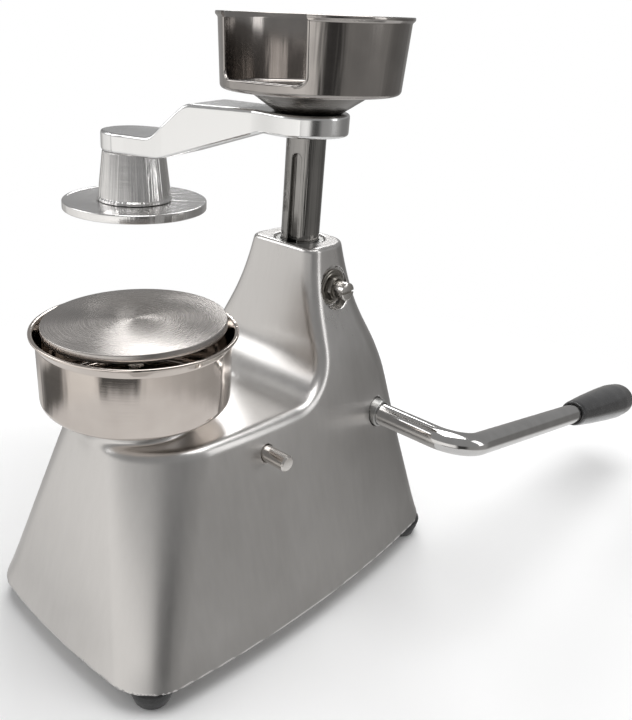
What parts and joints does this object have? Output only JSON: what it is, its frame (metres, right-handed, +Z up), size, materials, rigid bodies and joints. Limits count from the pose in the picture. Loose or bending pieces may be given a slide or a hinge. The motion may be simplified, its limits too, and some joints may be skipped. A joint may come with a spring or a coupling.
{
  "type": "patty press",
  "caption": "Hand-lever patty press: cast body with a tower, mould bowl with a rising ejector disc, and a swinging lift column carrying the press plate and a paper holder.",
  "frame": {"origin": "under the middle of the overall box, on the floor", "axes": "+Z up, +X to the machine's right (lever side), +Y to its rear; the mould bowl stands at the front, towards -Y"},
  "size_m": [0.3896, 0.6054, 0.4335],
  "materials": {
    "cast_aluminium": "satin cast, light hand-brushed grain",
    "bright_aluminium": "bright machined",
    "polished_steel": "mirror polished",
    "brushed_steel": "brushed in circles",
    "zinc_steel": "plain zinc-plated",
    "bronze": "machined bearing bronze",
    "grip": "gloss black",
    "rubber": "matt black"
  },
  "bodies": {
    "housing": {"body_casting": "cast_aluminium", "foot_front_left": "rubber", "foot_front_right": "rubber", "foot_rear_left": "rubber", "foot_rear_right": "rubber", "foot_screw_front_left": "zinc_steel", "foot_screw_front_right": "zinc_steel", "foot_screw_rear_left": "zinc_steel", "foot_screw_rear_right": "zinc_steel", "column_bush": "zinc_steel", "guide_screw": "polished_steel", "guide_washer": "zinc_steel", "guide_lock_nut": "zinc_steel", "mould_bowl": "polished_steel", "bowl_screw_1": "zinc_steel", "bowl_screw_2": "zinc_steel", "bowl_screw_3": "zinc_steel", "ejector_bush": "bronze", "rocker_pivot_pin": "polished_steel", "pivot_collar_left": "zinc_steel", "pivot_collar_right": "zinc_steel", "lever_bush_outer": "zinc_steel", "lever_bush_inner": "bronze"},
    "lever": {"lever_rod": "polished_steel", "lever_grip": "grip", "shaft_collar": "zinc_steel", "crank_arm": "zinc_steel", "crank_set_screw": "zinc_steel", "crank_pin": "polished_steel", "crank_pin_clip": "zinc_steel", "link_pin_rear": "polished_steel"},
    "lift": {"lift_yoke": "zinc_steel"},
    "head": {"column": "polished_steel", "column_washer": "zinc_steel", "column_nut": "zinc_steel", "head_arm": "bright_aluminium", "arm_set_screw": "zinc_steel", "press_hub": "bright_aluminium", "press_plate": "bright_aluminium", "press_plate_screw": "zinc_steel", "holder_dish": "brushed_steel", "paper_holder": "polished_steel", "holder_screw": "zinc_steel"},
    "ejector": {"ejector_plate": "brushed_steel", "ejector_stem": "polished_steel", "stem_pin": "zinc_steel"},
    "rocker": {"ejector_rocker": "zinc_steel"},
    "link": {"drag_link": "zinc_steel", "link_pin_front": "polished_steel"}
  },
  "joints": [
    {"name": "lever_turn", "type": "hinge", "parent": "housing", "child": "lever", "pos_m": [0.1006, -0.034, 0.136], "axis": [1, 0, 0], "range_deg": [0, 130]},
    {"name": "column_lift", "type": "slide", "parent": "housing", "child": "lift", "axis": [0, 0, 1], "range_m": [-0.062, 0]},
    {"name": "head_swing", "type": "hinge", "parent": "lift", "child": "head", "pos_m": [0.0256, -0.062, 0.3], "axis": [0, 0, 1], "range_deg": [0, 75]},
    {"name": "ejector_lift", "type": "slide", "parent": "housing", "child": "ejector", "axis": [0, 0, 1], "range_m": [-0.043, 0]},
    {"name": "rocker_turn", "type": "hinge", "parent": "housing", "child": "rocker", "pos_m": [0.0256, -0.166, 0.148], "axis": [1, 0, 0], "range_deg": [0, 31.9]},
    {"name": "link_turn", "type": "hinge", "parent": "lever", "child": "link", "pos_m": [0.0553, -0.0533, 0.127], "axis": [1, 0, 0], "range_deg": [-130, 0]}
  ],
  "couplings": [
    {"joint": "column_lift", "follows": "lever_turn", "m_per_rad": -0.02732},
    {"joint": "ejector_lift", "follows": "lever_turn", "m_per_rad": -0.01895},
    {"joint": "rocker_turn", "follows": "lever_turn", "ratio": 0.2453},
    {"joint": "link_turn", "follows": "lever_turn", "ratio": -1}
  ]
}
